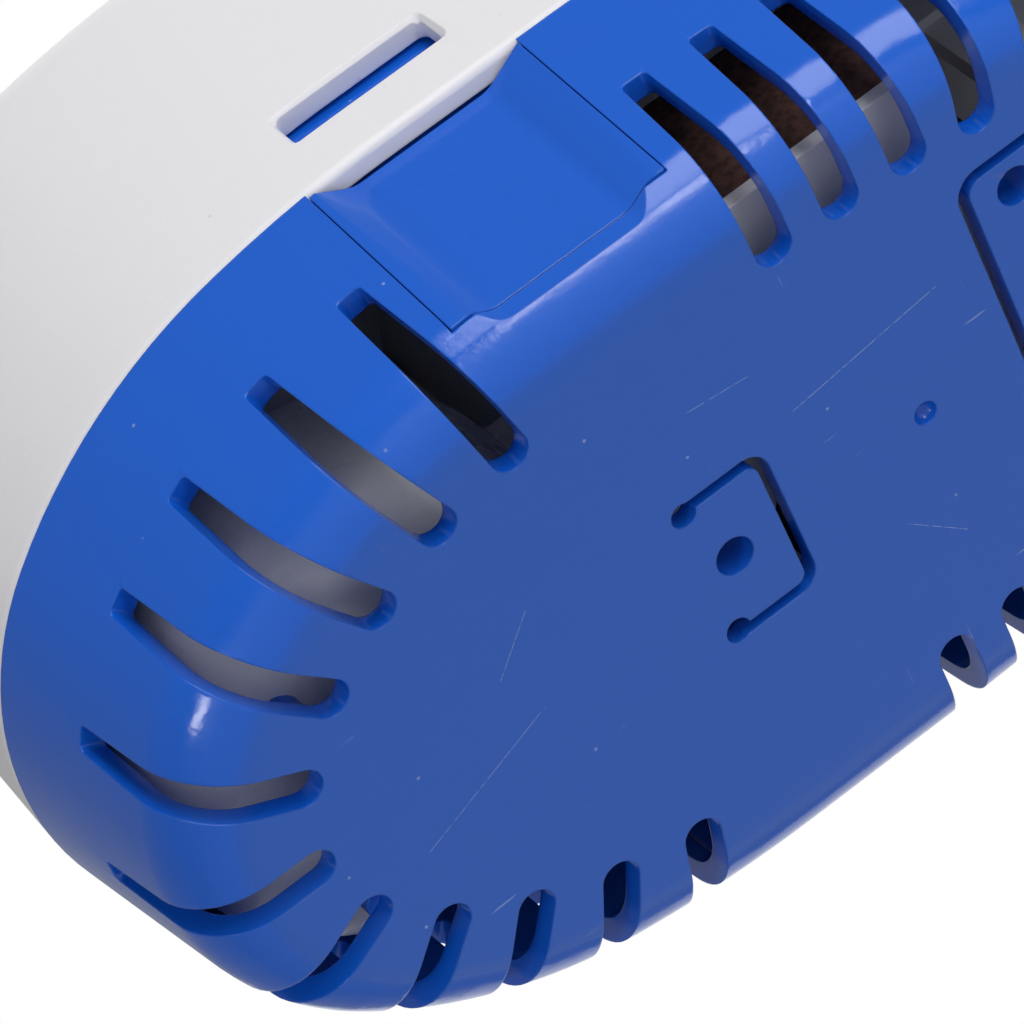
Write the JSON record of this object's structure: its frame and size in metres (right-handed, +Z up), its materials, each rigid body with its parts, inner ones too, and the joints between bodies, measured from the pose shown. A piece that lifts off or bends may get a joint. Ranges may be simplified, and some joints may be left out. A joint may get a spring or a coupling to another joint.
{
  "type": "bilge pump",
  "caption": "Automatic bilge pump: slotted clip-on strainer base, vertical motor with impeller, float switch, check valve and side hose barb.",
  "frame": {"origin": "centre of the middle mounting hole, on the hull side of the strainer base", "axes": "+X toward the float end, -X toward the pump end, +Z up from the hull, outlet toward +Y"},
  "size_m": [0.184, 0.132, 0.1116],
  "materials": {
    "blue_plastic": "gloss",
    "white_plastic": "satin",
    "bowl_plastic": "gloss",
    "grey_plastic": "satin",
    "black_plastic": "satin",
    "red_plastic": "satin",
    "float_foam": "matte",
    "rubber": "matte",
    "steel": "brushed",
    "motor_steel": "satin",
    "lamination": "satin",
    "copper": "gloss",
    "bronze": "satin",
    "magnet": "matte",
    "carbon": "matte"
  },
  "bodies": {
    "pump": {"brush_0": "carbon", "brush_1": "carbon", "bush_lower": "bronze", "bush_upper": "bronze", "cable_gland": "black_plastic", "cap_ring": "rubber", "elbow_ring": "rubber", "end_bell": "black_plastic", "flap_pin": "steel", "float_pin": "steel", "gland_nut": "black_plastic", "magnet_0": "magnet", "magnet_1": "magnet", "microswitch": "black_plastic", "motor_can": "motor_steel", "motor_cap": "white_plastic", "motor_isolator": "rubber", "outlet_elbow": "white_plastic", "outlet_gasket": "rubber", "outlet_nozzle": "white_plastic", "outlet_nut": "white_plastic", "plunger_boot": "rubber", "pump_housing": "white_plastic", "shaft_seal": "rubber", "strainer_base": "blue_plastic", "switch_box": "grey_plastic", "switch_lid": "grey_plastic", "switch_mount": "black_plastic", "volute_bowl": "bowl_plastic", "volute_cover": "bowl_plastic"},
    "rotor": {"impeller": "black_plastic", "motor_shaft": "steel", "rotor_core": "lamination", "rotor_windings": "copper", "commutator": "copper"},
    "float": {"float_foam": "float_foam", "float_tray": "grey_plastic"},
    "latch_neg_y": {"latch_tab_neg_y": "blue_plastic"},
    "latch_pos_y": {"latch_tab_pos_y": "blue_plastic"},
    "valve_flap": {"check_flap": "rubber"},
    "plunger": {"switch_plunger": "white_plastic"},
    "lever": {"switch_lever": "steel"},
    "button": {"switch_button": "red_plastic"},
    "knob": {"test_knob": "blue_plastic", "knob_shaft": "grey_plastic"}
  },
  "joints": [
    {"name": "rotor_spin", "type": "hinge", "parent": "pump", "child": "rotor", "pos_m": [-0.039, 0, 0.02], "axis": [0, 0, 1], "continuous": true},
    {"name": "float_lift", "type": "hinge", "parent": "pump", "child": "float", "pos_m": [0.062, 0, 0.022], "axis": [0, 1, 0], "range_deg": [0, 14]},
    {"name": "latch_press_neg_y", "type": "hinge", "parent": "pump", "child": "latch_neg_y", "pos_m": [0, -0.0411, 0.0065], "axis": [-1, 0, 0], "range_deg": [0, 3.5], "stiffness_Nm_per_rad": 4},
    {"name": "latch_press_pos_y", "type": "hinge", "parent": "pump", "child": "latch_pos_y", "pos_m": [0, 0.0411, 0.0065], "axis": [1, 0, 0], "range_deg": [0, 3.5], "stiffness_Nm_per_rad": 4},
    {"name": "valve_swing", "type": "hinge", "parent": "pump", "child": "valve_flap", "pos_m": [0.0015, 0.0233, 0.076], "axis": [1, 0, 0], "range_deg": [0, 55]},
    {"name": "plunger_slide", "type": "slide", "parent": "pump", "child": "plunger", "axis": [0, 0, 1], "range_m": [0, 0.002]},
    {"name": "lever_swing", "type": "hinge", "parent": "pump", "child": "lever", "pos_m": [0.0655, 0, 0.045], "axis": [0, 1, 0], "range_deg": [0, 10.5]},
    {"name": "button_slide", "type": "slide", "parent": "pump", "child": "button", "axis": [0, 0, 1], "range_m": [0, 0.0009]},
    {"name": "knob_turn", "type": "hinge", "parent": "pump", "child": "knob", "pos_m": [0.09, 0, 0.044], "axis": [-1, 0, 0], "range_deg": [0, 90]}
  ],
  "couplings": [
    {"joint": "plunger_slide", "follows": "float_lift", "m_per_rad": 0.0075},
    {"joint": "lever_swing", "follows": "float_lift", "ratio": 0.68182},
    {"joint": "button_slide", "follows": "float_lift", "m_per_rad": 0.0034091},
    {"joint": "knob_turn", "follows": "float_lift", "ratio": 6.4286}
  ]
}
